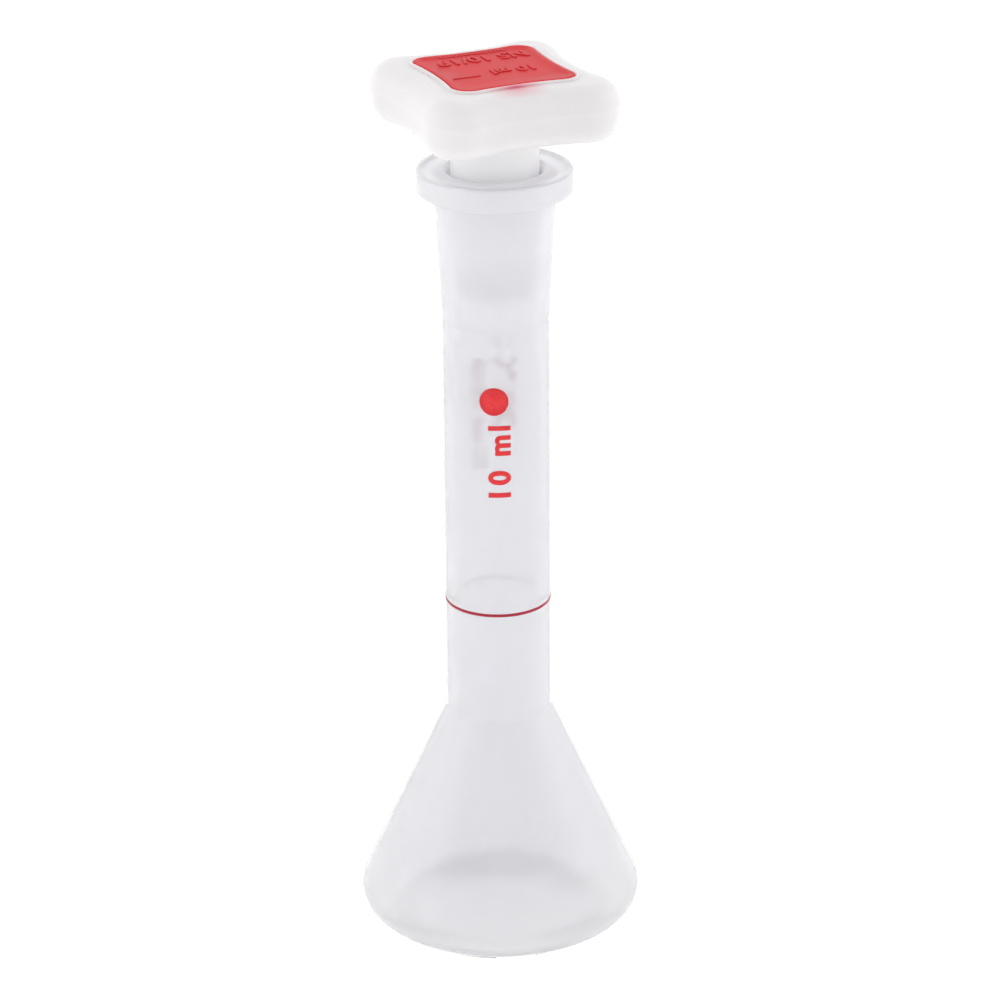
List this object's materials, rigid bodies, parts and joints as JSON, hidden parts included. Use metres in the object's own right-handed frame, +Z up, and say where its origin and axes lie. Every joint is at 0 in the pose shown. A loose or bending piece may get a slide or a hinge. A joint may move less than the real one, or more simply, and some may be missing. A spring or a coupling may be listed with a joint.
{
  "type": "volumetric flask",
  "caption": "Small conical plastic volumetric flask with a long marked neck, a collared tapered socket and a lift-out stopper with a square lobed knob.",
  "frame": {"origin": "on the flask's axis, in the plane that the foot ring stands on", "axes": "+Z up along the flask's axis; -Y is the side with the front print"},
  "size_m": [0.0318, 0.0318, 0.101],
  "materials": {
    "flask_plastic": "natural translucent moulded plastic, softly glossy",
    "stopper_plastic": "natural frosted moulded plastic, satin",
    "insert_plastic": "red moulded plastic, satin",
    "ring_ink": "crimson ink",
    "print_ink": "red ink"
  },
  "bodies": {
    "flask": {"flask_body": "flask_plastic", "ring_mark": "ring_ink", "front_print": "print_ink", "back_print": "print_ink"},
    "stopper": {"stopper_body": "stopper_plastic", "stopper_insert": "insert_plastic"}
  },
  "joints": [
    {"name": "stopper_lift", "type": "slide", "parent": "flask", "child": "stopper", "axis": [0, 0, 1], "range_m": [0, 0.03]}
  ]
}
